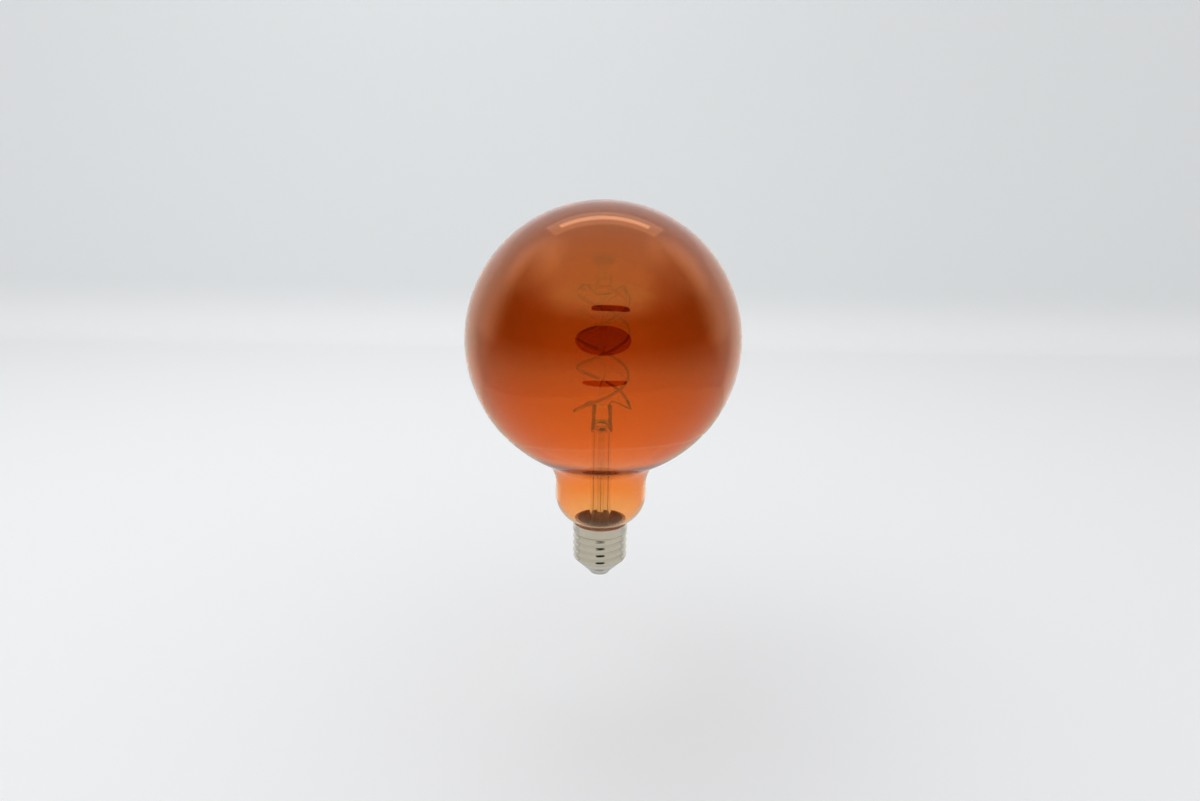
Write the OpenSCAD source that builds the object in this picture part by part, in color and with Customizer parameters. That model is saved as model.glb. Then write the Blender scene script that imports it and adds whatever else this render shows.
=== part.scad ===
// Globe smart bulb: tinted glass globe, spiral filaments on a glass stem, driver and radio in an E27 cap.
// Millimetres. The face of the centre contact is at the origin, and +Z runs up the axis to the crown.

/* [Globe] */
// Outside diameter of the globe
globe_d = 125; // [95:1:150]
// Outside diameter of the neck
neck_d = 43.2; // [38:0.1:50]
// Length of the neck's straight part
neck_l = 6; // [4:0.1:25]
// Radius of the hollow blend between neck and globe
blend_r = 14; // [4:0.5:20]
// Radius of the round shoulder below the neck
shoulder_r = 15; // [11:0.5:17]
// Thickness of the blown glass
glass_wall = 0.9; // [0.6:0.1:1.3]
// Room for cement between the glass mouth and the root of the cap's thread
cement_gap = 0.4; // [0.3:0.05:0.9]
// Depth of the mouth below the cap's rim
mouth_depth = 7.6; // [6:0.1:8.4]
// Height of the foot of the shoulder above the cap's rim
rim_gap = 0.4; // [0.3:0.1:1.5]

/* [Stem] */
// Outside diameter of the stem tube
stem_d = 10.4; // [9.8:0.1:11.4]
// Wall of the stem tube and its flare
stem_wall = 0.9; // [0.6:0.1:1]
// Height of the trumpet flare at the foot of the tube
flare_h = 14; // [11:0.5:20]
// Height of the top of the press above the contact
press_top = 84.5; // [75:0.5:95]
// Height of the press
press_h = 12.5; // [9:0.5:16]
// Width of the press
press_w = 9.6; // [8.8:0.1:10.2]
// Thickness of the press
press_t = 4.4; // [3:0.1:6]
// Outside diameter of the exhaust tube
exhaust_d = 3.2; // [2.6:0.1:3.6]
// Wall of the exhaust tube
exhaust_wall = 0.5; // [0.3:0.1:0.7]
// How far the sealed tip of the exhaust tube hangs below the flare
exhaust_tip = 2.4; // [1.8:0.1:2.8]
// Diameter of the blow hole in the press
blow_d = 1.4; // [1:0.1:1.8]
// Diameter of the glass centre post
post_d = 3; // [2.2:0.1:4]
// Height of the middle of the post's button above the press
post_l = 51.5; // [42:0.5:60]
// Diameter of the button
button_d = 4.8; // [4.4:0.1:6]

/* [Leads] */
// Distance between the two leads
lead_gap = 7; // [6.4:0.1:7.4]
// Diameter of the copper and nickel leads
lead_d = 0.6; // [0.4:0.05:0.7]
// Diameter of the wire that seals into the press
seal_d = 0.8; // [0.6:0.05:1]
// Wall of the insulating sleeves on the leads
sleeve_wall = 0.25; // [0.15:0.05:0.35]

/* [Filaments] */
// Diameter of the spiral at the middle of the strips
spiral_d = 23.8; // [18:0.2:32]
// Rise of a strip in one turn
spiral_pitch = 34.5; // [28:0.5:36]
// Turns of each strip
spiral_turns = 1.5; // [1:0.25:1.75]
// Angle at which the right strip starts
spiral_start = 20; // [0:5:40]
// Height of the right strip's start above the press
right_rise = 2.1; // [1:0.1:6]
// Height of the left strip's start above the press
left_rise = -1.1; // [-2:0.1:4]
// Diameter of a strip
strip_d = 1.8; // [1.4:0.1:2.4]
// Length of the metal tabs at the ends of the strips
tab_l = 4; // [3:0.5:6]
// Diameter of the tabs
tab_d = 1.5; // [1.2:0.1:2.2]

/* [Cap] */
// Diameter over the crests of the E27 thread
thread_d = 26.1; // [26.05:0.05:26.25]
// Depth of the thread
thread_depth = 1.05; // [0.9:0.05:1.1]
// Pitch of the thread
thread_pitch = 3.629; // [3.5:0.001:3.8]
// Height of a groove of the thread at the front of the cap
groove_z = 18.2; // [17.2:0.1:21]
// Diameter of the plain band under the rim
band_d = 26.3; // [26.3:0.05:26.6]
// Height of the plain band
band_h = 3.8; // [3:0.1:4.2]
// Height of the cap's rim above the contact
rim_z = 26.6; // [26:0.1:28]
// Thickness of the cap's sheet metal
cap_wall = 0.3; // [0.25:0.05:0.35]
// Height at which the thread ends and the lower cone begins
cone_z = 8; // [7.6:0.1:8.6]
// Height of the lip round the insulator
lip_z = 3.3; // [3:0.1:3.8]
// Inside diameter of the lip
lip_d = 14.6; // [14:0.1:18]
// Diameter of the foot of the insulator
foot_d = 10.6; // [10.2:0.1:13]
// Diameter of the centre contact
contact_d = 9.2; // [7:0.1:10]
// Thickness of the centre contact's head
contact_h = 0.8; // [0.5:0.1:1.2]
// Diameter of the centre contact's shank
shank_d = 3; // [2:0.1:4]
// Clearance of pieces that seat in one another
fit = 0.05; // [0.03:0.01:0.1]

/* [Driver] */
// Height of the insulator's floor, on which the boards stand
floor_z = 7.4; // [7.2:0.1:7.8]
// Wall of the insulating liner in the cap
liner_wall = 0.5; // [0.3:0.1:0.7]
// Gap between the boards and the liner
board_gap = 0.5; // [0.3:0.1:1]
// Thickness of the driver board
board_t = 1; // [0.8:0.1:1.2]
// Distance of the driver board's inner face in front of the axis
board_ahead = 2.6; // [2.4:0.1:2.8]
// Height of the driver board
board_h = 9.8; // [9.6:0.1:10]
// Diameter of the bulk capacitor
bulk_d = 5; // [4:0.1:5.2]
// Length of the bulk capacitor
bulk_l = 8; // [6:0.5:9]
// Diameter of the choke's flanges
choke_d = 5; // [4.4:0.1:5.4]
// Height of the choke
choke_h = 4; // [3:0.1:4.6]
// Width, depth and height of the bridge rectifier
bridge = [4.7, 2.4, 3.9]; // [2:0.1:5]
// Width, depth and height of the driver chip
chip = [4.9, 1.4, 3.4]; // [1:0.1:5]
// Diameter of the fuse resistor
fuse_d = 2.2; // [1.6:0.1:2.6]
// Length of the fuse resistor
fuse_l = 5.2; // [4:0.1:5.6]
// Diameter of the mains wires in the cap
wire_d = 0.6; // [0.4:0.05:0.7]
// Length of the chip resistors and capacitors
smd_l = 1.6; // [1.2:0.1:1.8]

/* [Radio] */
// Thickness of the radio board
radio_t = 0.8; // [0.6:0.1:1]
// Distance of the radio board's inner face behind the axis
radio_behind = 3.5; // [3.2:0.1:3.8]
// Width of the radio board
radio_w = 13; // [12:0.5:14]
// Height of the radio board
radio_h = 9.6; // [9:0.1:9.8]
// Width, depth and height of the radio's shield
shield = [7, 1.6, 6]; // [1:0.1:8]
// Thickness of the shield's sheet
shield_wall = 0.2; // [0.15:0.05:0.3]
// Side and thickness of the radio chip
radio_chip_size = [4, 0.8]; // [0.5:0.1:5]
// Width, depth and height of the crystal
crystal = [2, 0.6, 1.6]; // [0.4:0.1:2.4]
// Diameter of the antenna wire
antenna_d = 0.6; // [0.4:0.05:0.7]
// Length of the antenna above the cap's rim, a quarter wave
antenna_l = 31; // [20:1:38]
// Spacing of the pins between the two boards
pin_pitch = 2.54; // [2:0.01:2.6]
// Diameter of those pins
pin_d = 0.6; // [0.4:0.05:0.7]

/* [Hidden] */
$fn = 96;

// Bore of the shell: its thread's root, its plain band, and the narrower of the two
crest_r = thread_d / 2;
root_bore = crest_r - thread_depth - cap_wall;
band_r = band_d / 2;
band_bore = band_r - cap_wall;
band_step = cap_wall / 3;
throat_r = min(root_bore, band_bore - band_step);

// Globe, neck and mouth, with the most cement at the band
globe_r = globe_d / 2;
neck_r = neck_d / 2;
ledge_gap = 3.5 * cement_gap;
mouth_r = min(root_bore - cement_gap, band_bore - ledge_gap);
mouth_z = rim_z - mouth_depth;
shoulder_c = neck_r - shoulder_r;
shoulder_z = rim_z + rim_gap + sqrt(pow(shoulder_r, 2) - pow(mouth_r - shoulder_c, 2));
blend_c = neck_r + blend_r;
blend_z = shoulder_z + neck_l;
globe_z = blend_z + sqrt(pow(globe_r + blend_r, 2) - pow(blend_c, 2));
globe_foot = atan2(blend_z - globe_z, blend_c);
arc_steps = 24;
globe_step = 2;

// Stem
stem_r = stem_d / 2;
flare_w = mouth_r - glass_wall - fit - stem_r;
flare_r = stem_r + flare_w;
flare_top = mouth_z + flare_h;
flange_z = mouth_z - stem_wall;
press_z = press_top - press_h;
flat_z = press_z + press_h * 0.2;
taper_h = press_h * 0.3;
blow_z = press_z + press_h * 0.4;
button_z = press_top + post_l;
exhaust_r = exhaust_d / 2;
exhaust_z = flange_z - exhaust_tip;
// Height at which the leads and the antenna leave the straight tube, and room for a cut to run past a face
bend_z = flare_top - flare_h * 0.4;
past = 1;

// Filament spiral
spiral_r = spiral_d / 2;
spiral_rise = spiral_turns * spiral_pitch;
slope = atan2(spiral_pitch, PI * spiral_d);
strip_starts = [[spiral_start, press_top + right_rise], [spiral_start + 180, press_top + left_rise]];
loop_rings = 24;
strip_sides = 6;
wire_sides = 8;
stub = 1.2;

// Cap and thread
band_z = rim_z - band_h;
lap = 0.5;
thread_top = band_z + lap;
thread_fade = thread_pitch * 0.4;
thread_sides = 40;
thread_rings = 36;
lip_r = lip_d / 2;
sheet_mid = cap_wall / 2;
cone_r = crest_r - sheet_mid / 2;
cone_run = (cone_z - lip_z) / (cone_r - lip_r);
sheet_rise = cap_wall * sqrt(1 + pow(cone_run, 2));
shank_drop = 0.9;
shank_top = floor_z - shank_drop;
liner_play = 0.3;
liner_r = root_bore - liner_play;
liner_bore = liner_r - liner_wall;
liner_drop = 0.4;
liner_top = flange_z - liner_drop;

// Boards: y runs from the driver board at the front to the radio board at the back
board_face = -board_ahead;
board_rear = board_face - board_t;
board_top = floor_z + board_h;
board_w = 2 * (sqrt(pow(liner_bore, 2) - pow(board_rear, 2)) - board_gap);
radio_face = radio_behind + radio_t;
radio_top = floor_z + radio_h;
pin_rise = 1.1;
pin_z = floor_z + pin_rise;
pin_top = pin_z + pin_d / 2;
pins = 4;
part_gap = 0.4;
smd_w = smd_l / 2;
smd_h = smd_l * 0.3;
smd_z = floor_z + 4;
pad_x = 5;
pad_h = 2;
wire_lie = wire_d / 2 + fit;
lead_lie = lead_d / 2 + fit;
neutral_a = -40;
neutral_groove = groove_z + thread_pitch * (neutral_a + 90) / 360;
neutral_z = neutral_groove - thread_pitch * ceil((neutral_groove - liner_top + wire_d) / thread_pitch);

function unit(v) = v / norm(v);
function ease(t) = t * t * (3 - 2 * t);
function reversed(list) = [for (i = [len(list) - 1 : -1 : 0]) list[i]];
function arc(centre, radius, from, to, steps) =
    [for (i = [0 : steps]) let (a = from + (to - from) * i / steps) centre + radius * [cos(a), sin(a)]];
function oval(centre, wide, tall, from, to, steps) =
    [for (i = [0 : steps]) let (a = from + (to - from) * i / steps) centre + [wide * cos(a), tall * sin(a)]];

// Rounds the corners of a path and keeps its ends
function cut_corners(path) = concat(
    [path[0]],
    [for (i = [0 : len(path) - 2]) each [
        if (i > 0) path[i] * 0.75 + path[i + 1] * 0.25,
        if (i < len(path) - 2) path[i] * 0.25 + path[i + 1] * 0.75]],
    [path[len(path) - 1]]);
function rounded(path) = cut_corners(cut_corners(path));

// Frames along a path, each turned as little as possible from the one before
function heading(path, i) = unit(path[min(i + 1, len(path) - 1)] - path[max(i - 1, 0)]);
function frames(path, side, i = 0) = i == len(path) ? [] :
    let (t = heading(path, i), n = unit(side - (side * t) * t))
    concat([[path[i], n, cross(t, n)]], frames(path, n, i + 1));
function rings(path, radius, sides) = [for (f = frames(path, [0.8, 0.6, 0.1]))
    [for (j = [0 : sides - 1]) f[0] + radius * (cos(360 * j / sides) * f[1] + sin(360 * j / sides) * f[2])]];

// Skin over a row of rings: capped at both ends, or joined last to first
module skin(loops, joined = false) {
    n = len(loops[0]);
    m = len(loops);
    walls = [for (i = [0 : joined ? m - 1 : m - 2], j = [0 : n - 1])
        let (k = (j + 1) % n, u = i * n, v = (i + 1) % m * n)
        each [[u + j, v + k, u + k], [u + j, v + j, v + k]]];
    ends = joined ? [] : [for (j = [1 : n - 2], w = [0, 1])
        w == 0 ? [0, j, j + 1] : [(m - 1) * n, (m - 1) * n + j + 1, (m - 1) * n + j]];
    polyhedron(points = [for (loop = loops) each loop], faces = concat(walls, ends));
}

module wire(path, d, sides = wire_sides) { skin(rings(path, d / 2, sides)); }

module turned(outline) { rotate_extrude() polygon(outline); }

// Block that stands on a face at y, centred on x, with its foot at z
module block(size, x, y, z) { translate([x - size[0] / 2, y, z]) cube(size); }

// Glass

// Globe's curve from just above the neck, through its widest point, to the crown
function globe_line(radius) = concat(
    arc([0, globe_z], radius, globe_foot + globe_step, 0, arc_steps),
    arc([0, globe_z], radius, globe_step, 90, 2 * arc_steps));

module glass_envelope() {
    shoulder_end = acos((mouth_r - shoulder_c) / shoulder_r);
    inner_end = acos((mouth_r - glass_wall - shoulder_c) / (shoulder_r - glass_wall));
    blend_end = globe_foot + 180;
    outside = concat(
        [[mouth_r, mouth_z]],
        arc([shoulder_c, shoulder_z], shoulder_r, -shoulder_end, 0, arc_steps),
        arc([blend_c, blend_z], blend_r, 180, blend_end, arc_steps),
        globe_line(globe_r));
    inside = concat(
        [[mouth_r - glass_wall, mouth_z]],
        arc([shoulder_c, shoulder_z], shoulder_r - glass_wall, -inner_end, 0, arc_steps),
        arc([blend_c, blend_z], blend_r + glass_wall, 180, blend_end, arc_steps),
        globe_line(globe_r - glass_wall));
    color([0.72, 0.3, 0.1, 0.6]) turned(concat(outside, reversed(inside)));
}

module stem_flare() {
    centre = [flare_r, flare_top];
    color([0.85, 0.9, 0.9, 0.6]) turned(concat(
        [[stem_r, press_z]],
        oval(centre, flare_w, flare_h, 180, 270, arc_steps),
        [[mouth_r, mouth_z], [mouth_r, flange_z]],
        oval(centre, flare_w + stem_wall, flare_h + stem_wall, 270, 180, arc_steps),
        [[stem_r - stem_wall, press_z]]));
}

// Round plug at the foot, a short taper, and the flat that the pincers leave
module stem_press() {
    color([0.8, 0.86, 0.86, 0.7]) difference() {
        union() {
            translate([0, 0, press_z]) cylinder(h = flat_z - press_z, r = stem_r);
            translate([0, 0, flat_z]) cylinder(h = taper_h, r1 = press_w / 2, r2 = press_t / 2);
            translate([0, 0, flat_z]) linear_extrude(press_top - flat_z)
                square([press_w, press_t], center = true);
        }
        for (side = [-1, 1])
            translate([seal_x(side), 0, press_z - past])
                cylinder(h = press_h + 2 * past, d = seal_d + 2 * fit);
        translate([0, 0, press_z - past]) cylinder(h = blow_z - press_z + past, d = blow_d);
        translate([0, 0, blow_z]) rotate([90, 0, 0]) cylinder(h = stem_d, d = blow_d);
    }
}

module exhaust_tube() {
    bore = exhaust_r - exhaust_wall;
    tip = exhaust_z + exhaust_r;
    color([0.85, 0.9, 0.9, 0.6]) turned(concat(
        [[bore, press_z], [bore, tip]],
        arc([0, tip], bore, 0, -90, arc_steps),
        arc([0, tip], exhaust_r, -90, 0, arc_steps),
        [[exhaust_r, press_z]]));
}

module centre_post() {
    post_r = post_d / 2;
    button_r = button_d / 2;
    foot = asin(post_r / button_r);
    color([0.85, 0.9, 0.9, 0.6]) difference() {
        turned(concat(
            [[0, press_top], [post_r, press_top]],
            arc([0, button_z], button_r, foot - 90, 90, arc_steps)));
        translate([0, 0, button_z]) rotate([0, 90, top_angle()])
            cylinder(h = 2 * button_d, d = lead_d + 2 * fit, center = true);
    }
}

// Leads

function seal_x(side) = side * lead_gap / 2;

module lead_seals() {
    color("peru") for (side = [-1, 1])
        translate([seal_x(side), 0, press_z]) cylinder(h = press_h, d = seal_d);
}

// From the press down the tube, outwards in the flare, and onto the driver board's pads
function outer_lead_path(side) = let (pad_y = board_face + lead_lie) rounded([
    [seal_x(side), 0, press_z],
    [seal_x(side), 0, flare_top],
    [seal_x(side) * 1.05, pad_y * 0.1, bend_z],
    [side * (pad_x - part_gap), pad_y * 0.65, mouth_z + pad_h],
    [side * pad_x, pad_y, board_top],
    [side * pad_x, pad_y, board_top - pad_h]]);

module outer_lead(side) { color("sienna") wire(outer_lead_path(side), lead_d); }
module outer_lead_left() { outer_lead(-1); }
module outer_lead_right() { outer_lead(1); }

module lead_sleeves() {
    bore = lead_d + 2 * fit;
    color("ivory") for (side = [-1, 1]) {
        path = outer_lead_path(side);
        part = [for (p = path) if (p[2] < flare_top - stem_wall && p[2] > board_top + sleeve_wall) p];
        outside = rings(part, bore / 2 + sleeve_wall, wire_sides);
        inside = rings(part, bore / 2, wire_sides);
        skin(concat(outside, reversed(inside)), joined = true);
    }
}

// Filaments

function spiral_point(angle, z) = [spiral_r * cos(angle), spiral_r * sin(angle), z];
function spiral_heading(angle) = [-sin(angle) * cos(slope), cos(angle) * cos(slope), sin(slope)];
function strip_end_angle(start) = start[0] + 360 * spiral_turns;
function strip_foot(start) = spiral_point(start[0], start[1]) - strip_d * spiral_heading(start[0]);
function strip_head(start) = let (a = strip_end_angle(start))
    spiral_point(a, start[1] + spiral_rise) + strip_d * spiral_heading(a);
function tab_foot(start) = strip_foot(start) - tab_l * spiral_heading(start[0]);
function tab_head(start) = strip_head(start) + tab_l * spiral_heading(strip_end_angle(start));

// Each strip is one tube, with its ends straight for one diameter
function strip_path(start) = let (steps = round(loop_rings * spiral_turns)) concat(
    [strip_foot(start)],
    [for (i = [0 : steps])
        spiral_point(start[0] + 360 * spiral_turns * i / steps, start[1] + spiral_rise * i / steps)],
    [strip_head(start)]);

module filament(start) { skin(rings(strip_path(start), strip_d / 2, strip_sides)); }
module filament_right() { color("darkorange") filament(strip_starts[0]); }
module filament_left() { color("orange") filament(strip_starts[1]); }

// Least gap of a strip to itself, from points at least a third of a turn apart, and to the other strip
right_path = strip_path(strip_starts[0]);
left_path = strip_path(strip_starts[1]);
third = loop_rings / 3;
self_gap = min([for (i = [0 : len(right_path) - 1 - third], j = [i + third : len(right_path) - 1])
    norm(right_path[i] - right_path[j])]) - strip_d;
pair_gap = min([for (p = right_path, q = left_path) norm(p - q)]) - strip_d;
echo(filament_gap_to_itself = self_gap, filament_gap_to_the_other = pair_gap);
echo(overall_length = globe_z + globe_r);

module tab(point, angle) {
    translate(point) rotate([0, 0, angle]) rotate([slope - 90, 0, 0]) cylinder(h = tab_l, d = tab_d);
}

module filament_tabs() {
    color("silver") for (start = strip_starts) {
        tab(tab_foot(start), start[0]);
        tab(strip_head(start), strip_end_angle(start));
    }
}

// From the press outwards, round to the end of a tab
function inner_lead_path(side, start) = let (end = tab_foot(start), back = spiral_heading(start[0]))
    rounded([
        [seal_x(side), 0, press_top],
        [seal_x(side), 0, press_top + stub],
        [seal_x(side) + side * 2 * stub, 0, press_top + 1.5 * stub],
        end - 2 * stub * back - [side * stub / 2, 0, 0],
        end - stub * back,
        end]);

module inner_lead_right() { color("lightslategray") wire(inner_lead_path(1, strip_starts[0]), lead_d); }
module inner_lead_left() { color("lightslategray") wire(inner_lead_path(-1, strip_starts[1]), lead_d); }

function top_angle() = let (p = tab_head(strip_starts[1])) atan2(p[1], p[0]);

// Half of the wire through the button, from a tab to the post's axis
function hook_path(start) = let (
    end = tab_head(start),
    out = unit([end[0], end[1], 0]),
    on = spiral_heading(strip_end_angle(start)))
    [end, end + stub * on, end + 1.5 * stub * (on - out),
        [0, 0, button_z] + button_d * out, [0, 0, button_z] + button_d * 0.6 * out];

module top_wire() {
    near = hook_path(strip_starts[0]);
    far = hook_path(strip_starts[1]);
    color("lightslategray") wire(rounded(concat(near, reversed(far))), lead_d);
}

// Cap

// Outside radius of the threaded sheet: a round thread that dies out at the cone and where it meets the band
function fade(rise) = ease(min(1, rise / thread_fade));
function thread_r(a, z) = let (
    dip = (1 + cos(360 * (z - groove_z) / thread_pitch - a - 90)) / 2,
    meet = band_r - band_step)
    meet + (crest_r - thread_depth * fade(z - cone_z) * dip - meet) * fade(thread_top - z);
function thread_ring(z, inset) = [for (j = [0 : thread_sides - 1])
    let (a = 360 * j / thread_sides, r = thread_r(a, z) - inset) [r * cos(a), r * sin(a), z]];

module screw_shell() {
    levels = [for (i = [0 : thread_rings]) cone_z + (thread_top - cone_z) * i / thread_rings];
    color("silver") union() {
        skin(concat(
            [for (z = levels) thread_ring(z, 0)],
            [for (z = reversed(levels)) thread_ring(z, cap_wall)]), joined = true);
        turned([[band_bore, band_z], [band_r, band_z], [band_r, rim_z], [band_bore, rim_z]]);
        turned([
            [lip_r, lip_z], [cone_r, cone_z], [cone_r, cone_z + lap], [cone_r - sheet_mid, cone_z + lap],
            [cone_r - sheet_mid, cone_z + sheet_rise - cone_run * sheet_mid], [lip_r, lip_z + sheet_rise]]);
    }
}

module cap_insulator() {
    seat_r = lip_r - fit;
    seat_z = lip_z + sheet_rise + 2 * fit;
    wide_z = seat_z + (liner_r - seat_r) * cone_run;
    bore = shank_d / 2 + fit;
    color("whitesmoke") turned([
        [bore, contact_h], [foot_d / 2, contact_h], [seat_r, lip_z], [seat_r, seat_z],
        [liner_r, min(wide_z, floor_z - 2 * fit)], [liner_r, floor_z], [bore, floor_z]]);
}

module centre_contact() {
    edge = contact_h * 0.4;
    shank_r = shank_d / 2;
    color("lightgray") turned([
        [0, 0], [contact_d / 2 - edge, 0], [contact_d / 2, edge], [contact_d / 2, contact_h],
        [shank_r, contact_h], [shank_r, shank_top], [0, shank_top]]);
}

module basing_cement() {
    wall_r = mouth_r + fit;
    skirt_r = throat_r - fit;
    ledge_r = band_bore - fit;
    foot_z = mouth_z + lap;
    ledge_z = thread_top + fit;
    color("tan") turned([
        [wall_r, foot_z], [skirt_r, foot_z], [skirt_r, ledge_z],
        [ledge_r, ledge_z], [ledge_r, rim_z - cap_wall], [wall_r, rim_z + rim_gap / 2]]);
}

module cap_liner() {
    notch = 2 * wire_d;
    color("white") difference() {
        turned([[liner_bore, floor_z], [liner_r, floor_z], [liner_r, liner_top], [liner_bore, liner_top]]);
        rotate([0, 0, neutral_a]) translate([0, -notch / 2, neutral_z - notch / 2])
            cube([band_d, notch, rim_z]);
    }
}

// Driver

module driver_board() {
    color("darkgreen") block([board_w, board_t, board_h], 0, board_rear, floor_z);
}

bulk_z = floor_z + part_gap + bulk_d / 2;
module bulk_capacitor() {
    color("midnightblue") translate([-bulk_l / 2, board_rear - fit - bulk_d / 2, bulk_z])
        rotate([0, 90, 0]) cylinder(h = bulk_l, d = bulk_d);
}

choke_x = -pad_x - part_gap;
choke_z = pin_top + part_gap + choke_d / 2;
choke_rim = choke_h * 0.2;
choke_hub = choke_d * 0.5;

module choke_core() {
    color("dimgray") translate([choke_x, board_face, choke_z]) rotate([-90, 0, 0]) turned([
        [0, 0], [choke_d / 2, 0], [choke_d / 2, choke_rim], [choke_hub / 2, choke_rim],
        [choke_hub / 2, choke_h - choke_rim], [choke_d / 2, choke_h - choke_rim], [choke_d / 2, choke_h],
        [0, choke_h]]);
}

module choke_winding() {
    outer = choke_d * 0.44;
    inner = choke_hub / 2 + fit;
    color("sienna") translate([choke_x, board_face, choke_z]) rotate([-90, 0, 0]) turned([
        [inner, choke_rim], [outer, choke_rim], [outer, choke_h - choke_rim], [inner, choke_h - choke_rim]]);
}

module bridge_rectifier() {
    color("black") block(bridge, pad_x, board_face, pin_top + part_gap);
}

rear_parts_z = bulk_z + bulk_d / 2 + part_gap;
module driver_chip() {
    color("black") block(chip, -part_gap - chip[0] / 2, board_rear - chip[1], rear_parts_z);
}

module fuse_resistor() {
    color("steelblue") translate([part_gap, board_rear - fit - fuse_d / 2, rear_parts_z + fuse_d / 2])
        rotate([0, 90, 0]) cylinder(h = fuse_l, d = fuse_d);
}

smd_xs = [-1.5, -0.5, 0.5, 1.5] * (smd_w + part_gap);
module chip_resistors() {
    color("black") for (x = smd_xs) block([smd_w, smd_h, smd_l], x, board_face, smd_z);
}

module chip_capacitors() {
    color("burlywood") for (x = smd_xs)
        block([smd_w, smd_w, smd_l], x, board_face, smd_z + smd_l + part_gap);
}

// From its pad on the driver board down to the shank of the centre contact
module live_wire() {
    lie = board_face + wire_lie;
    pad_top = smd_z - wire_d;
    color("firebrick") wire(rounded([
        [0, lie, pad_top], [0, lie, pad_top - 3 * wire_d], [0, lie * 0.4, floor_z + shank_drop],
        [0, 0, floor_z + shank_drop / 2], [0, 0, shank_top]]), wire_d);
}

// From its pad behind the driver board up and out through the liner's notch to the shell
module neutral_wire() {
    out = [cos(neutral_a), sin(neutral_a), 0];
    start = out * liner_bore * 0.84;
    lie = board_rear - wire_lie;
    color("navy") wire(rounded([
        [start[0], lie, neutral_z - 5 * wire_d], [start[0], lie, neutral_z - 2 * wire_d],
        [start[0], min(lie, start[1]), neutral_z], out * liner_bore + [0, 0, neutral_z],
        out * (root_bore - fit) + [0, 0, neutral_z]]), wire_d);
}

module header_pins() {
    color("gold") for (i = [0 : pins - 1])
        translate([(i - (pins - 1) / 2) * pin_pitch, board_face, pin_z])
            rotate([-90, 0, 0]) cylinder(h = radio_behind - board_face, d = pin_d);
}

// Radio

module radio_board() {
    color("darkslateblue") block([radio_w, radio_t, radio_h], 0, radio_behind, floor_z);
}

shield_x = -radio_w / 2 + part_gap + shield[0] / 2;
shield_z = floor_z + (radio_h - shield[2]) / 2;

module radio_shield() {
    room = shield - [2, 1, 2] * shield_wall;
    color("silver") difference() {
        block(shield, shield_x, radio_face, shield_z);
        block(room + [0, past, 0], shield_x, radio_face - past, shield_z + shield_wall);
    }
}

module radio_chip() {
    side = radio_chip_size[0];
    color("black")
        block([side, radio_chip_size[1], side], shield_x, radio_face, shield_z + (shield[2] - side) / 2);
}

side_x = shield_x + shield[0] / 2 + part_gap + crystal[0] / 2;
module radio_crystal() {
    color("gainsboro") block(crystal, side_x, radio_face, shield_z);
}

// From its pad on the radio board, in beside the exhaust tube and straight up the stem
module antenna_wire() {
    lie = radio_face + antenna_d / 2 + fit;
    inside = (stem_r - stem_wall + exhaust_r) / 2;
    color("goldenrod") wire(rounded([
        [side_x, lie, radio_top - 1.5 * pad_h], [side_x, lie, radio_top],
        [side_x * 0.8, lie, mouth_z + stem_wall], [0, inside, bend_z],
        [0, inside, flare_top + 2 * pad_h], [0, inside, rim_z + antenna_l]]), antenna_d);
}

glass_envelope();
stem_flare();
stem_press();
exhaust_tube();
centre_post();
lead_seals();
outer_lead_left();
outer_lead_right();
lead_sleeves();
inner_lead_left();
inner_lead_right();
filament_left();
filament_right();
filament_tabs();
top_wire();
screw_shell();
cap_insulator();
centre_contact();
basing_cement();
cap_liner();
driver_board();
bulk_capacitor();
choke_core();
choke_winding();
bridge_rectifier();
driver_chip();
fuse_resistor();
chip_resistors();
chip_capacitors();
live_wire();
neutral_wire();
header_pins();
radio_board();
radio_chip();
radio_shield();
radio_crystal();
antenna_wire();
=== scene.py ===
from math import acos, atan2, cos, degrees, hypot, pi, radians, sin, sqrt, tau

import bmesh
import bpy
from mathutils import Matrix, Vector


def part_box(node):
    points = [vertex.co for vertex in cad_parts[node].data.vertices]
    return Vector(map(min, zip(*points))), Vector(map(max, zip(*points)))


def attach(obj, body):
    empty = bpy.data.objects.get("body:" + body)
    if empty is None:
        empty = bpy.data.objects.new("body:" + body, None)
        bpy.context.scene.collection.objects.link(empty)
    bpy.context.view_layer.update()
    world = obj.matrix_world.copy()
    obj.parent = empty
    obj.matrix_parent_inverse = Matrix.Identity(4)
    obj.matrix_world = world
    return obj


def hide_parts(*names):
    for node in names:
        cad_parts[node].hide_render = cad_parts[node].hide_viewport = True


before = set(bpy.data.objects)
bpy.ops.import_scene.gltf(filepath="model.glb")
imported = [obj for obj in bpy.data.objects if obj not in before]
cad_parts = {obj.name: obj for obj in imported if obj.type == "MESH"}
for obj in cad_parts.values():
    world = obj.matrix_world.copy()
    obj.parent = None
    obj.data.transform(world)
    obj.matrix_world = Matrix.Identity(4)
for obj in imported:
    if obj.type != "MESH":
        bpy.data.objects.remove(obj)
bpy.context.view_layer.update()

# Camera
# The bulb is seen from a little above its crown, with a wide lens close to it.
# Places are in the part's own frame: the tip of the cap is at the origin.
MM = 0.001
camera_at = Vector((-1, -359.6, 181.6)) * MM
camera_pitch = radians(14.81)
camera_roll = radians(0.9)
focal_length = 24
sensor_width = 36
camera_data = bpy.data.cameras.new("camera")
camera_data.lens = focal_length
camera_data.sensor_width = sensor_width
camera_data.clip_start = 0.01
camera = bpy.data.objects.new("camera", camera_data)
camera.matrix_world = (
    Matrix.Translation(camera_at)
    @ Matrix.Rotation(pi / 2 - camera_pitch, 4, "X")
    @ Matrix.Rotation(camera_roll, 4, "Z")
)
scene = bpy.context.scene
scene.collection.objects.link(camera)
scene.camera = camera
scene.view_settings.view_transform = "Standard"

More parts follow.
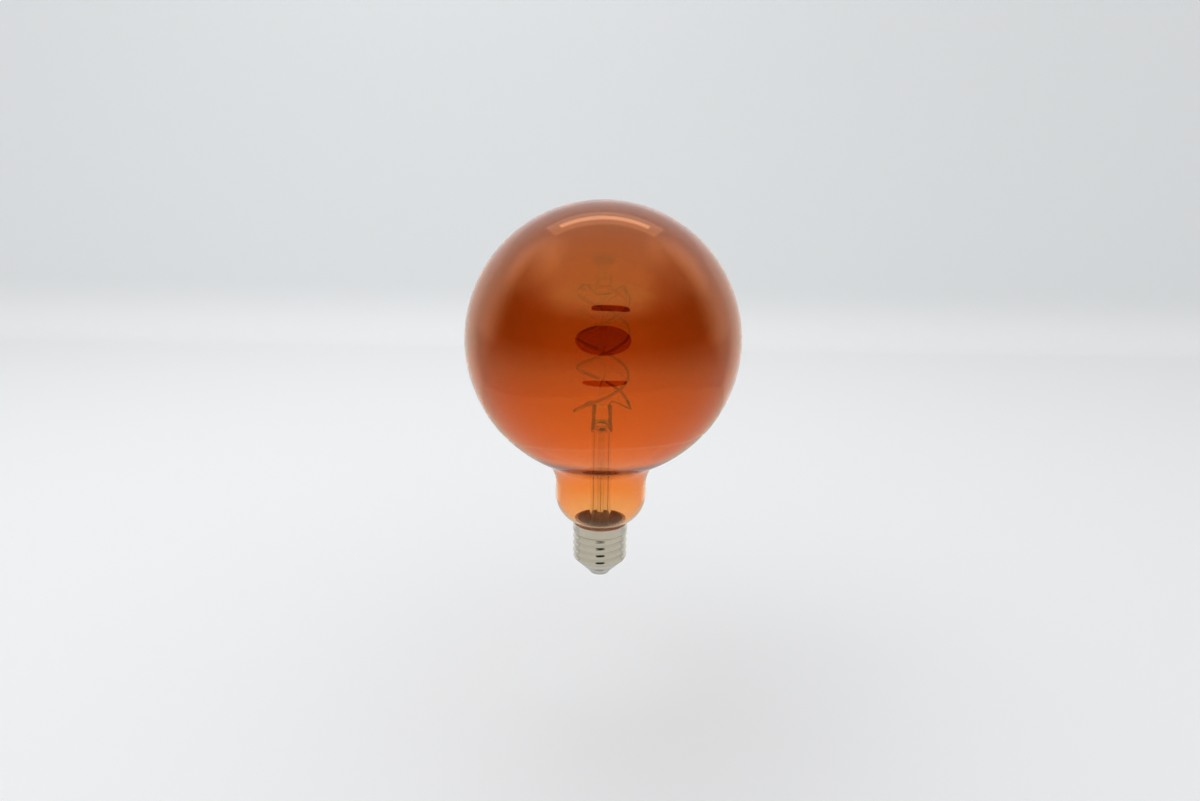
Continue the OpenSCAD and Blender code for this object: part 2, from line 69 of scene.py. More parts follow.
# Light that passes the globe meets up to four glass walls and the stem, so paths are long.
scene.cycles.max_bounces = 40
scene.cycles.transmission_bounces = 36
scene.cycles.glossy_bounces = 12

# Studio sweep
# A sheet of white paper that lies flat and turns up into a wall behind the bulb.
# It is matt, and the bulb hovers above it. The wall is coloured darker than the floor: painted shade, where the
# wall gets less light.
floor_z = -60 * MM
wall_y = 950 * MM
sweep_bend = 90 * MM
sweep_front = 4000 * MM
sweep_half = 12000 * MM
wall_top = 1500 * MM
bend_steps = 16
paper_white = (0.88, 0.885, 0.89)
# Painted shade: the wall's paper is coloured darker than the floor's, from the floor up to this height.
paper_painted_shade = (0.8, 0.815, 0.82)
painted_shade_top = 20 * MM


def add_node(tree, kind, **settings):
    """A new node with its options set, and its inputs where a setting names one."""
    node = tree.nodes.new(kind)
    for key, value in settings.items():
        if key in node.inputs.keys():
            node.inputs[key].default_value = value
        else:
            setattr(node, key, value)
    return node


def new_material(name):
    """A material with one Principled shader, and the tree and shader to build on."""
    material = bpy.data.materials.new(name)
    material.use_nodes = True
    tree = material.node_tree
    return material, tree, tree.nodes["Principled BSDF"]


def chain(bm, points, closed=False):
    """Vertices joined in a row by edges, and back to the first where the row is closed."""
    verts = [bm.verts.new(p) for p in points]
    for a, b in zip(verts, verts[1:]):
        bm.edges.new((a, b))
    if closed:
        bm.edges.new((verts[-1], verts[0]))


def arc(centre, radius, start, end, steps):
    """Points of a round stretch in the XZ plane, in degrees from +X towards +Z."""
    turns = [radians(start + (end - start) * i / steps) for i in range(steps + 1)]
    return [Vector((centre[0] + radius * cos(a), 0, centre[1] + radius * sin(a))) for a in turns]


def put_in_scene(bm, name, materials, crease=35):
    """Turns a bmesh into an object at the origin, smooth but for edges over an angle."""
    for face in bm.faces:
        face.smooth = True
    for edge in bm.edges:
        edge.smooth = len(edge.link_faces) != 2 or edge.calc_face_angle(0) < radians(crease)
    mesh = bpy.data.meshes.new(name)
    bm.to_mesh(mesh)
    bm.free()
    for material in materials:
        mesh.materials.append(material)
    obj = bpy.data.objects.new(name, mesh)
    scene.collection.objects.link(obj)
    return obj


def only_mirrored(tree):
    """1 on rays that some surface has reflected, 0 on those that light the bulb or pass through it."""
    path = add_node(tree, "ShaderNodeLightPath")
    turned = add_node(tree, "ShaderNodeMath", operation="GREATER_THAN")
    turned.inputs[1].default_value = 0.5
    lit = add_node(tree, "ShaderNodeMath", operation="SUBTRACT", use_clamp=True)
    tree.links.new(path.outputs["Glossy Depth"], turned.inputs[0])
    tree.links.new(turned.outputs[0], lit.inputs[0])
    tree.links.new(path.outputs["Is Diffuse Ray"], lit.inputs[1])
    return lit.outputs[0]


def slope_of(tree, source, start, end, low=0, high=1):
    """A soft change from one level to another along a value."""
    step = add_node(tree, "ShaderNodeMapRange", interpolation_type="SMOOTHSTEP")
    for key, value in zip(("From Min", "From Max", "To Min", "To Max"), (start, end, low, high)):
        step.inputs[key].default_value = value
    tree.links.new(source, step.inputs["Value"])
    return step.outputs[0]


def seen_when(tree, share, shown, hidden):
    """Joins two shaders so that a share of 1 gives the first."""
    choice = add_node(tree, "ShaderNodeMixShader")
    tree.links.new(share, choice.inputs[0])
    tree.links.new(hidden, choice.inputs[1])
    tree.links.new(shown, choice.inputs[2])
    tree.links.new(choice.outputs[0], tree.nodes["Material Output"].inputs["Surface"])


paper, tree, shader = new_material("sweep_paper")
shader.inputs["Roughness"].default_value = 0.9
shader.inputs["Specular IOR Level"].default_value = 0.1
place = add_node(tree, "ShaderNodeTexCoord")
parts = add_node(tree, "ShaderNodeSeparateXYZ")
# Painted shade: the paper turns from the floor's colour to the darker wall colour with height.
painted_wall_shade = add_node(tree, "ShaderNodeMix", data_type="RGBA")
painted_wall_shade.inputs["A"].default_value = (*paper_white, 1)
painted_wall_shade.inputs["B"].default_value = (*paper_painted_shade, 1)
tree.links.new(place.outputs["Object"], parts.inputs[0])
tree.links.new(slope_of(tree, parts.outputs["Z"], floor_z, painted_shade_top), painted_wall_shade.inputs["Factor"])
tree.links.new(painted_wall_shade.outputs["Result"], shader.inputs["Base Color"])
clear = add_node(tree, "ShaderNodeBsdfTransparent")
seen_when(tree, only_mirrored(tree), clear.outputs[0], shader.outputs[0])

bm = bmesh.new()
line = [Vector((0, -sweep_front, floor_z))]
line += [
    Vector((0, p.x, p.z))
    for p in arc((wall_y - sweep_bend, floor_z + sweep_bend), sweep_bend, -90, 0, bend_steps)
]
line += [Vector((0, wall_y, wall_top))]
chain(bm, [p - Vector((sweep_half, 0, 0)) for p in line])
ret = bmesh.ops.extrude_edge_only(bm, edges=bm.edges[:])
moved = [v for v in ret["geom"] if isinstance(v, bmesh.types.BMVert)]
bmesh.ops.translate(bm, verts=moved, vec=(2 * sweep_half, 0, 0))
bmesh.ops.recalc_face_normals(bm, faces=bm.faces[:])
sweep = put_in_scene(bm, "sweep", [paper])

# Studio light
# The room is white overhead and behind the bulb, and dim in front, where the camera stands.
# A strip hangs over the back of the bulb, and a wide box above the sweep lights the paper.
room_white = (0.985, 0.99, 1.0)
room_above = (0.97, 1.0, 1.15)
room_front = (0.95, 0.62, 0.2)
front_level = 0.4
side_level = 0.32
floor_level = 0.6
above_level = 0.8
back_level = 0.9
fill_level = 0.86
backdrop_level = 0.8
haze_level = 0.32
haze_at = [(-0.68, 0.13, 0.72), (0.7, 0.2, 0.68)]
haze_spread = (0.9, 0.99)
room_lean = 0.05
front_sides = (0.5, 0.9)
behind_from = (-0.1, 0.4)
above_from = (0.36, 0.7)
above_sides = (0.45, 0.78)
above_share = (1, 0.35)
below_from = (0.08, -0.35)
back_from = (0.1, 0.7)
back_heights = (0.35, 0.6)
floor_turn = (-0.1, 0)
sky_turn = (-0.1, 0.5)
world = bpy.data.worlds.new("studio")
scene.world = world
world.use_nodes = True
world.cycles.sampling_method = "NONE"
tree = world.node_tree
tree.nodes.clear()
direction = add_node(tree, "ShaderNodeTexCoord")
parts = add_node(tree, "ShaderNodeSeparateXYZ")
tree.links.new(direction.outputs["Generated"], parts.inputs[0])


def joined(tree, how, *sources):
    """One value from several, by adding, multiplying or taking the largest."""
    result = sources[0]
    for source in sources[1:]:
        step = add_node(tree, "ShaderNodeMath", operation=how)
        tree.links.new(result, step.inputs[0])
        tree.links.new(source, step.inputs[1])
        result = step.outputs[0]
    return result


def tinted(tree, colour, level):
    """Even light of one colour, of a level that changes."""
    light = add_node(tree, "ShaderNodeBackground", Color=(*colour, 1))
    tree.links.new(level, light.inputs["Strength"])
    return light.outputs[0]


def blended(tree, share, a, b):
    """Turns from one light to another."""
    mix = add_node(tree, "ShaderNodeMixShader")
    for source, socket in zip((share, a, b), mix.inputs):
        tree.links.new(source, socket)
    return mix.outputs[0]


lean = add_node(tree, "ShaderNodeMath", operation="ADD")
lean.inputs[1].default_value = room_lean
aside = add_node(tree, "ShaderNodeMath", operation="ABSOLUTE")
tree.links.new(parts.outputs["X"], lean.inputs[0])
tree.links.new(lean.outputs[0], aside.inputs[0])
front = slope_of(tree, aside.outputs[0], *front_sides, front_level, side_level)
behind = slope_of(tree, parts.outputs["Y"], *behind_from)
above = joined(
    tree, "MULTIPLY",
    slope_of(tree, parts.outputs["Z"], *above_from),
    slope_of(tree, aside.outputs[0], *above_sides, *above_share))
below = slope_of(tree, parts.outputs["Z"], *below_from)
haze = []
for spot in haze_at:
    near = add_node(tree, "ShaderNodeVectorMath", operation="DOT_PRODUCT")
    near.inputs[1].default_value = Vector(spot).normalized()
    tree.links.new(direction.outputs["Generated"], near.inputs[0])
    haze.append(slope_of(tree, near.outputs["Value"], *haze_spread, 0, haze_level))
level = add_node(tree, "ShaderNodeMath", operation="ABSOLUTE")
tree.links.new(parts.outputs["Z"], level.inputs[0])
back = joined(
    tree, "MULTIPLY",
    slope_of(tree, parts.outputs["Y"], *back_from, 0, back_level),
    slope_of(tree, level.outputs[0], *back_heights, 1, 0))
full = joined(tree, "MAXIMUM", slope_of(tree, parts.outputs["Z"], *floor_turn, floor_level, above_level), back)
room = joined(tree, "ADD", full, *haze)
sky = slope_of(tree, parts.outputs["Z"], *sky_turn)
bright = blended(tree, sky, tinted(tree, room_white, room), tinted(tree, room_above, room))
share = joined(tree, "MAXIMUM", behind, above, below, *haze)
mirrored = blended(tree, share, tinted(tree, room_front, front), bright)
path = add_node(tree, "ShaderNodeLightPath")
plain = add_node(tree, "ShaderNodeMix", data_type="FLOAT")
plain.inputs["A"].default_value = backdrop_level
plain.inputs["B"].default_value = fill_level
tree.links.new(path.outputs["Is Diffuse Ray"], plain.inputs["Factor"])
output = add_node(tree, "ShaderNodeOutputWorld")
lit = blended(tree, only_mirrored(tree), tinted(tree, room_white, plain.outputs[0]), mirrored)
tree.links.new(lit, output.inputs["Surface"])


def soft_box(name, place, aim, width, depth, radiance, mirrored=True):
    """An area lamp of this brightness, in the room's white, turned to a point."""
    lamp = bpy.data.lights.new(name, "AREA")
    lamp.shape = "RECTANGLE"
    lamp.size = width
    lamp.size_y = depth
    lamp.energy = radiance * pi * width * depth
    lamp.color = room_white
    obj = bpy.data.objects.new(name, lamp)
    obj.location = place
    obj.rotation_euler = (aim - place).to_track_quat("-Z", "Y").to_euler()
    obj.visible_glossy = mirrored
    obj.visible_transmission = mirrored
    scene.collection.objects.link(obj)


bulb_middle = Vector((0, 0, 115)) * MM
strip_at = Vector((0, 330, 700)) * MM
glow_at = strip_at * 1.02
soft_box("strip_over", strip_at, bulb_middle, width=0.5, depth=0.06, radiance=1.05)
soft_box("strip_glow", glow_at, bulb_middle, width=0.66, depth=0.22, radiance=0.35)
paper_middle = Vector((0, 450, -60)) * MM
box_at = Vector((-250, 600, 1000)) * MM
soft_box("box_over", box_at, paper_middle, width=2.6, depth=0.6, radiance=0.85, mirrored=False)

# Dark camera
# The black face of the camera and a bar over and under it show in the globe and in the cap's grooves.
# They are seen only in those reflections, not through the glass and not in the picture itself.
dark_faces = [
    ((0, -400, 190), 150, 78, 2.0),
    ((44, -400, 383), 118, 23, 4.0),
    ((10, -400, -40), 120, 19, 2.6),
]
face_sides = 64
black_face, tree, shader = new_material("camera_black")
shader.inputs["Base Color"].default_value = (0.01, 0.01, 0.01, 1)
shader.inputs["Roughness"].default_value = 0.8
clear = add_node(tree, "ShaderNodeBsdfTransparent")
seen_when(tree, only_mirrored(tree), shader.outputs[0], clear.outputs[0])


def squared_round(v, half, depth, power):
    """Moves a point of a circle to the like point of a rounded oblong."""
    a = atan2(v.co.y, v.co.x)
    c, s = cos(a), sin(a)
    v.co.x = half * abs(c) ** (2 / power) * (1 if c > 0 else -1)
    v.co.y = depth * abs(s) ** (2 / power) * (1 if s > 0 else -1)


def leave_to_mirrors(obj):
    """Hides an object from the lens and from the light on matt surfaces."""
    obj.visible_camera = False
    obj.visible_diffuse = False
    obj.visible_shadow = False


bm = bmesh.new()
for place, half, rise, power in dark_faces:
    ring = bmesh.ops.create_circle(bm, cap_ends=True, segments=face_sides, radius=1)["verts"]
    for v in ring:
        squared_round(v, half * MM, rise * MM, power)
    bmesh.ops.rotate(bm, verts=ring, cent=(0, 0, 0), matrix=Matrix.Rotation(-pi / 2, 3, "X"))
    bmesh.ops.translate(bm, verts=ring, vec=Vector(place) * MM)
camera_face = put_in_scene(bm, "camera_face", [black_face])
leave_to_mirrors(camera_face)

# Light panel
# A low, evenly lit panel is bent round the front of the cap, with an opening for the lens.
# Like the camera, it is seen only in reflections: it keeps the cap's thread bright.
panel_r = 100
panel_opening = (34, 17.5, 54)
panel_edge = (160, 60, 35)
panel_rows = 8
panel_corner = (2, 8)
panel_glow = 0.58


def next_ring(bm, rim):
    """Pulls a closed row of edges on into a new row, and gives the new vertices and edges."""
    grown = bmesh.ops.extrude_edge_only(bm, edges=rim)["geom"]
    ring = [g for g in grown if isinstance(g, bmesh.types.BMVert)]
    edges = [g for g in grown if isinstance(g, bmesh.types.BMEdge)]
    return ring, [e for e in edges if all(v in ring for v in e.verts)]


panel_white, tree, shader = new_material("panel_white")
shader.inputs["Base Color"].default_value = (0.1, 0.1, 0.1, 1)
shader.inputs["Roughness"].default_value = 0.9
shader.inputs["Emission Color"].default_value = (1.0, 0.98, 0.94, 1)
shader.inputs["Emission Strength"].default_value = panel_glow
panel_white.cycles.emission_sampling = "NONE"
clear = add_node(tree, "ShaderNodeBsdfTransparent")
seen_when(tree, only_mirrored(tree), shader.outputs[0], clear.outputs[0])
bm = bmesh.new()
ring = bmesh.ops.create_circle(bm, cap_ends=False, segments=face_sides, radius=1)["verts"]
rim = bm.edges[:]
for row in range(panel_rows + 1):
    share = row / panel_rows
    half, rise, height = (a + (b - a) * share for a, b in zip(panel_opening, panel_edge))
    if row:
        ring, rim = next_ring(bm, rim)
    for v in ring:
        v.co.z = height
        squared_round(v, half, rise, panel_corner[0] + (panel_corner[1] - panel_corner[0]) * share)
for v in bm.verts:
    turn = v.co.x / panel_r
    v.co = Vector((panel_r * sin(turn), -panel_r * cos(turn), v.co.z + v.co.y)) * MM
cap_panel = put_in_scene(bm, "cap_panel", [panel_white])
leave_to_mirrors(cap_panel)

# Glass envelope
# A blown globe on a short neck with a round shoulder, drawn in to a mouth that sits in the cap.
# Clear soda glass with an amber coat inside, dense on the globe and thin at the neck.
envelope_low, envelope_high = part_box("glass_envelope")
globe_r = envelope_high.x
globe_z = envelope_high.z - globe_r
neck_r = 21.6 * MM
blend_r = 14 * MM
shoulder_r = 15 * MM
neck_l = 6 * MM
glass_wall = 0.9 * MM
mouth_r = 11.3 * MM
mouth_z = envelope_low.z
blend_x = neck_r + blend_r
blend_z = globe_z - sqrt((globe_r + blend_r) ** 2 - blend_x**2)
shoulder_x = neck_r - shoulder_r
shoulder_z = blend_z - neck_l
fold_r = blend_r + glass_wall
round_steps = 160


def spin_round(bm, steps=round_steps, centre=(0, 0, 0)):
    """Turns an outline in the XZ plane once round an upright axis, and closes its seam and poles."""
    geom = bm.verts[:] + bm.edges[:]
    bmesh.ops.spin(
        bm, geom=geom, cent=centre, axis=(0, 0, 1), dvec=(0, 0, 0), angle=tau, steps=steps,
        use_merge=True, use_duplicate=False,
    )
    bmesh.ops.remove_doubles(bm, verts=bm.verts[:], dist=0.002 * MM)
    bmesh.ops.recalc_face_normals(bm, faces=bm.faces[:])


def stand_for(obj, slot, *nodes):
    """The piece moves with the bulb and hides its solids."""
    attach(obj, "root")
    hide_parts(*nodes)


def new_group(name, takes, **gives):
    """A node group that takes numbers and gives sockets of a kind, with its two end nodes."""
    group = bpy.data.node_groups.new(name, "ShaderNodeTree")
    for socket in takes:
        group.interface.new_socket(socket, in_out="INPUT", socket_type="NodeSocketFloat")
    for socket, kind in gives.items():
        group.interface.new_socket(socket, in_out="OUTPUT", socket_type="NodeSocket" + kind)
    return group, add_node(group, "NodeGroupInput"), add_node(group, "NodeGroupOutput")


def blown_ripple():
    """Slow waves that blowing leaves in glass, as a normal."""
    group, source, sink = new_group("blown_ripple", ("Size", "Depth"), Normal="Vector")
    place = add_node(group, "ShaderNodeTexCoord")
    noise = add_node(group, "ShaderNodeTexNoise", Detail=2.0, Roughness=0.4)
    bump = add_node(group, "ShaderNodeBump", Distance=1 * MM)
    group.links.new(place.outputs["Object"], noise.inputs["Vector"])
    group.links.new(source.outputs["Size"], noise.inputs["Scale"])
    group.links.new(source.outputs["Depth"], bump.inputs["Strength"])
    group.links.new(noise.outputs[0], bump.inputs["Height"])
    group.links.new(bump.outputs["Normal"], sink.inputs["Normal"])
    return group


ripple = blown_ripple()


def height_ramp(tree, stops):
    """A colour that follows the height on the bulb, from stops of millimetres and a colour."""
    place = add_node(tree, "ShaderNodeTexCoord")
    parts = add_node(tree, "ShaderNodeSeparateXYZ")
    low, high = stops[0][0], stops[-1][0]
    height = add_node(tree, "ShaderNodeMapRange")
    height.inputs["From Min"].default_value = low * MM
    height.inputs["From Max"].default_value = high * MM
    ramp = add_node(tree, "ShaderNodeValToRGB")
    marks = ramp.color_ramp.elements
    while len(marks) < len(stops):
        marks.new(0.5)
    for mark, (z, colour) in zip(marks, stops):
        mark.position = (z - low) / (high - low)
        mark.color = (*colour, 1)
    tree.links.new(place.outputs["Object"], parts.inputs[0])
    tree.links.new(parts.outputs["Z"], height.inputs["Value"])
    tree.links.new(height.outputs[0], ramp.inputs[0])
    return ramp.outputs["Color"]


slant_power = 1.4


def amber_glass(name, stops, edge_tint):
    """Glass whose tint follows the height and, on the globe, deepens where light passes it at a slant."""
    material, tree, shader = new_material(name)
    shader.inputs["Transmission Weight"].default_value = 1
    shader.inputs["Roughness"].default_value = 0
    shader.inputs["IOR"].default_value = 1.5
    slant = add_node(tree, "ShaderNodeLayerWeight", Blend=0.5)
    steep = add_node(tree, "ShaderNodeMath", operation="POWER")
    steep.inputs[1].default_value = slant_power
    dense = add_node(tree, "ShaderNodeMath", operation="MULTIPLY")
    tint = add_node(tree, "ShaderNodeMix", data_type="RGBA")
    tint.inputs["B"].default_value = (*edge_tint, 1)
    tree.links.new(slant.outputs["Facing"], steep.inputs[0])
    tree.links.new(steep.outputs[0], dense.inputs[0])
    tree.links.new(height_ramp(tree, coat_share), dense.inputs[1])
    tree.links.new(dense.outputs[0], tint.inputs["Factor"])
    tree.links.new(height_ramp(tree, stops), tint.inputs["A"])
    tree.links.new(tint.outputs["Result"], shader.inputs["Base Color"])
    return material, tree, shader


coat_share = [(30, (0, 0, 0)), (56, (0.1, 0.1, 0.1)), (90, (0.6, 0.6, 0.6)), (130, (1, 1, 1))]
glass_stops = [
    (26, (1.0, 0.8, 0.55)),
    (36, (1.0, 0.575, 0.31)),
    (45, (1.0, 0.52, 0.235)),
    (56, (1.0, 0.47, 0.13)),
    (80, (1.0, 0.36, 0.06)),
    (115, (1.0, 0.31, 0.04)),
    (180, (1.0, 0.31, 0.05)),
]
coat_stops = [
    (26, (1.0, 0.8, 0.5)),
    (36, (1.0, 0.56, 0.265)),
    (45, (1.0, 0.48, 0.17)),
    (56, (1.0, 0.37, 0.06)),
    (80, (0.82, 0.19, 0.01)),
    (115, (0.29, 0.024, 0.0)),
    (180, (0.27, 0.03, 0.0)),
]
envelope_glass, tree, shader = amber_glass("amber_glass", glass_stops, (0.4, 0.18, 0.06))
shader.inputs["Specular Tint"].default_value = (0.6, 0.42, 0.2, 1)
wave = add_node(tree, "ShaderNodeGroup", node_tree=ripple)
wave.inputs["Size"].default_value = 45
wave.inputs["Depth"].default_value = 0.02
tree.links.new(wave.outputs["Normal"], shader.inputs["Normal"])

# Painted reflection: where the globe folds into the neck, the glass is tinted near black at a slant, for the
# dark room mirrored in that grazing band.
fold_reflection_slant = (0.56, 0.7)
fold_painted_reflection = (0.12, 0.02, 0.02)
fold_reflection_heights = [(58.5, (0, 0, 0)), (61.5, (1, 1, 1)), (65.5, (1, 1, 1)), (69, (0, 0, 0))]
slant = add_node(tree, "ShaderNodeLayerWeight", Blend=0.5)
painted_reflection_share = joined(
    tree, "MULTIPLY", slope_of(tree, slant.outputs["Facing"], *fold_reflection_slant), height_ramp(tree, fold_reflection_heights))
fold = add_node(tree, "ShaderNodeMix", data_type="RGBA")
fold.inputs["B"].default_value = (*fold_painted_reflection, 1)
tree.links.new(painted_reflection_share, fold.inputs["Factor"])
tree.links.new(shader.inputs["Base Color"].links[0].from_socket, fold.inputs["A"])
tree.links.new(fold.outputs["Result"], shader.inputs["Base Color"])
envelope_coat, tree, shader = amber_glass("amber_coat", coat_stops, (0.02, 0.0, 0.0))
shader.inputs["Coat IOR"].default_value = 3.3
shader.inputs["Coat Roughness"].default_value = 0
shader.inputs["Specular Tint"].default_value = (0.3, 0.3, 0.3, 1)
tree.links.new(height_ramp(tree, coat_share), shader.inputs["Coat Weight"])


def envelope_line(inset, bend):
    """Outline of the glass from its mouth to its crown, with this round where the globe meets the neck."""
    mouth = mouth_r - inset
    shoulder_end = degrees(acos((mouth - shoulder_x) / (shoulder_r - inset)))
    bend_x = neck_r - inset + bend
    bend_z = globe_z - sqrt((globe_r - inset + bend) ** 2 - bend_x**2)
    foot = degrees(atan2(bend_z - globe_z, bend_x))
    line = [Vector((mouth, 0, mouth_z))]
    line += arc((shoulder_x, shoulder_z), shoulder_r - inset, -shoulder_end, 0, 24)
    line += arc((bend_x, bend_z), bend, 180, foot + 180, 28)
    return line + arc((0, globe_z), globe_r - inset, foot, 90, 90)[1:]


# The cement behind the mouth shows through the glass as one glossy red-brown face. Its colour is the cement's
# red-brown made lighter, lightest low in the mouth and darker towards the rim: painted light, as little light
# reaches into the cap.
backed_z = 26.9 * MM
backed_glass, tree, shader = new_material("cement_behind_glass_painted_light")
shader.inputs["Roughness"].default_value = 0.7
shader.inputs["Coat Weight"].default_value = 0.5
# Painted light: lighter than the cement's own colour, lightest low in the mouth.
backed_painted_light_stops = [
    (19, (1.0, 0.64, 0.5)),
    (24, (0.95, 0.58, 0.45)),
    (27, (0.7, 0.43, 0.33)),
    (29, (0.6, 0.37, 0.29)),
]
grain = add_node(tree, "ShaderNodeTexNoise", Scale=900.0, Detail=4.0)
place = add_node(tree, "ShaderNodeTexCoord")
sandy_brown = add_node(tree, "ShaderNodeMix", data_type="RGBA")
sandy_brown.inputs["B"].default_value = (0.5, 0.3, 0.24, 1)
tree.links.new(place.outputs["Object"], grain.inputs["Vector"])
tree.links.new(slope_of(tree, grain.outputs[0], 0.4, 0.7, 0, 0.35), sandy_brown.inputs["Factor"])
tree.links.new(height_ramp(tree, backed_painted_light_stops), sandy_brown.inputs["A"])
tree.links.new(sandy_brown.outputs["Result"], shader.inputs["Base Color"])

bm = bmesh.new()
chain(bm, envelope_line(glass_wall, fold_r)[::-1] + envelope_line(0, blend_r))
spin_round(bm)
for face in bm.faces:
    middle = face.calc_center_median()
    core = Vector((0, 0, min(middle.z, globe_z)))
    face.material_index = 1 if face.normal.dot(middle - core) < 0 else 0
    if face.material_index and middle.z < backed_z:
        face.material_index = 2
envelope = put_in_scene(bm, "globe_envelope", [envelope_glass, envelope_coat, backed_glass])
stand_for(envelope, "tinted_glass", "glass_envelope")

# Stem
# A clear tube with a trumpet flare, melted to the mouth of the envelope at its foot.
# Inside it hangs the thin exhaust tube, melted shut at its tip.
flare_low, flare_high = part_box("stem_flare")
stem_r = 5.2 * MM
stem_wall = 0.9 * MM
flare_h = 14 * MM
press_z = flare_high.z
flange_z = flare_low.z
flare_r = mouth_r - glass_wall - 0.05 * MM
melt = 0.05 * MM


def fire_polished(name, size, depth):
    """Clear lead glass with waves of this fineness and depth."""
    material, tree, shader = new_material(name)
    shader.inputs["Base Color"].default_value = (0.96, 0.975, 0.97, 1)
    shader.inputs["Transmission Weight"].default_value = 1
    shader.inputs["Roughness"].default_value = 0
    shader.inputs["IOR"].default_value = 1.48
    wave = add_node(tree, "ShaderNodeGroup", node_tree=ripple)
    wave.inputs["Size"].default_value = size
    wave.inputs["Depth"].default_value = depth
    tree.links.new(wave.outputs["Normal"], shader.inputs["Normal"])
    return material


clear_glass = fire_polished("clear_glass", 160, 0.03)
flare_centre = (flare_r, mouth_z + flare_h)


def flare_line(inset):
    """Trumpet of the flare, on the outside or the inside of its wall."""
    wide, tall = flare_r - stem_r + inset, flare_h + inset
    quarter = arc((0, 0), 1, 180, 270, 28)
    return [Vector((flare_centre[0] + wide * p.x, 0, flare_centre[1] + tall * p.z)) for p in quarter]


bm = bmesh.new()
tube_line = [Vector((stem_r, 0, press_z + melt))] + flare_line(0)
tube_line += [Vector((mouth_r, 0, mouth_z + melt)), Vector((mouth_r, 0, flange_z))]
tube_line += flare_line(stem_wall)[::-1] + [Vector((stem_r - stem_wall, 0, press_z + melt))]
chain(bm, tube_line, closed=True)
spin_round(bm, 96)
flare = put_in_scene(bm, "stem_tube", [clear_glass])
stand_for(flare, "clear_glass", "stem_flare")

exhaust_low, exhaust_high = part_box("exhaust_tube")
exhaust_r = exhaust_high.x
exhaust_wall = 0.5 * MM
tip_z = exhaust_low.z + exhaust_r
exhaust_top = exhaust_high.z + melt
bm = bmesh.new()
pipe_line = [Vector((exhaust_r - exhaust_wall, 0, exhaust_top))]
pipe_line += arc((0, tip_z), exhaust_r - exhaust_wall, 0, -90, 12)
chain(bm, pipe_line)
pipe_line = arc((0, tip_z), exhaust_r, -90, 0, 12) + [Vector((exhaust_r, 0, exhaust_top))]
chain(bm, pipe_line)
spin_round(bm, 48)
rims = [e for e in bm.edges if e.is_boundary]
bmesh.ops.bridge_loops(bm, edges=rims)
bmesh.ops.recalc_face_normals(bm, faces=bm.faces[:])
exhaust = put_in_scene(bm, "exhaust_pipe", [clear_glass])
stand_for(exhaust, "clear_glass", "exhaust_tube")

# Press
# The top of the stem tube, pinched flat between hot pincers round the sealing wires.
# A clear block with soft edges, a little uneven.
press_low, press_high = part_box("stem_press")
press_half = 4.8 * MM
press_depth = 2.2 * MM
press_sections = [
    (0.0, stem_r, stem_r, 2.0),
    (0.1, stem_r, stem_r * 0.98, 2.0),
    (0.2, stem_r * 0.98, stem_r * 0.8, 2.2),
    (0.32, press_half, press_depth * 1.25, 2.8),
    (0.45, press_half * 0.98, press_depth, 3.6),
    (0.7, press_half, press_depth * 0.97, 3.8),
    (0.9, press_half, press_depth, 3.6),
    (0.97, press_half * 0.95, press_depth * 0.85, 3.0),
    (1.0, press_half * 0.85, press_depth * 0.6, 2.6),
]
press_sides = 48


def loft(bm, low, high, sections, sides, place=Matrix()):
    """A closed body through rounded oblongs at shares of its height, then set in its place."""
    ring = bmesh.ops.create_circle(bm, cap_ends=True, segments=sides, radius=1)["verts"]
    rim = list({e for v in ring for e in v.link_edges})
    body = []
    for i, (share, half, depth, power) in enumerate(sections):
        if i:
            ring, rim = next_ring(bm, rim)
        for v in ring:
            v.co.z = low + (high - low) * share
            squared_round(v, half, depth, power)
        body += ring
    bmesh.ops.edgeloop_fill(bm, edges=rim)
    bmesh.ops.transform(bm, matrix=place, verts=body)
    bmesh.ops.recalc_face_normals(bm, faces=bm.faces[:])


bm = bmesh.new()
loft(bm, press_low.z, press_high.z, press_sections, press_sides)
press = put_in_scene(bm, "press_block", [fire_polished("press_glass", 700, 0.35)])
stand_for(press, "clear_glass", "stem_press")

# Centre post
# A clear rod on top of the press that ends in a melted button round the top wire.
# Its foot is melted into the press.
post_low, post_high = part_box("centre_post")
button_r = post_high.x
post_r = 1.5 * MM
button_z = post_high.z - button_r
post_foot = post_low.z - melt
button_foot = degrees(acos(post_r / button_r))
bm = bmesh.new()
post_line = [Vector((0, 0, post_foot)), Vector((post_r, 0, post_foot))]
chain(bm, post_line + arc((0, button_z), button_r, -button_foot, 90, 20))
spin_round(bm, 40)
post = put_in_scene(bm, "post_and_button", [clear_glass])
stand_for(post, "clear_glass", "centre_post")

# Leads
# Copper leads run down the stem to the driver, and nickel leads run from the press to the strips.
# Each is drawn wire, a little dulled by the heat of sealing.


def drawn_metal():
    """Fine streaks and patches of oxide, as a mask and as a normal."""
    group, source, sink = new_group("drawn_metal", ("Size", "Depth"), Mask="Float", Normal="Vector")
    place = add_node(group, "ShaderNodeTexCoord")
    noise = add_node(group, "ShaderNodeTexNoise", Detail=5.0, Roughness=0.65)
    spread = add_node(group, "ShaderNodeMapRange")
    spread.inputs["From Min"].default_value = 0.35
    spread.inputs["From Max"].default_value = 0.68
    bump = add_node(group, "ShaderNodeBump", Distance=0.05 * MM)
    group.links.new(place.outputs["Object"], noise.inputs["Vector"])
    group.links.new(source.outputs["Size"], noise.inputs["Scale"])
    group.links.new(source.outputs["Depth"], bump.inputs["Strength"])
    group.links.new(noise.outputs[0], spread.inputs["Value"])
    group.links.new(noise.outputs[0], bump.inputs["Height"])
    group.links.new(spread.outputs[0], sink.inputs["Mask"])
    group.links.new(bump.outputs["Normal"], sink.inputs["Normal"])
    return group


drawn = drawn_metal()


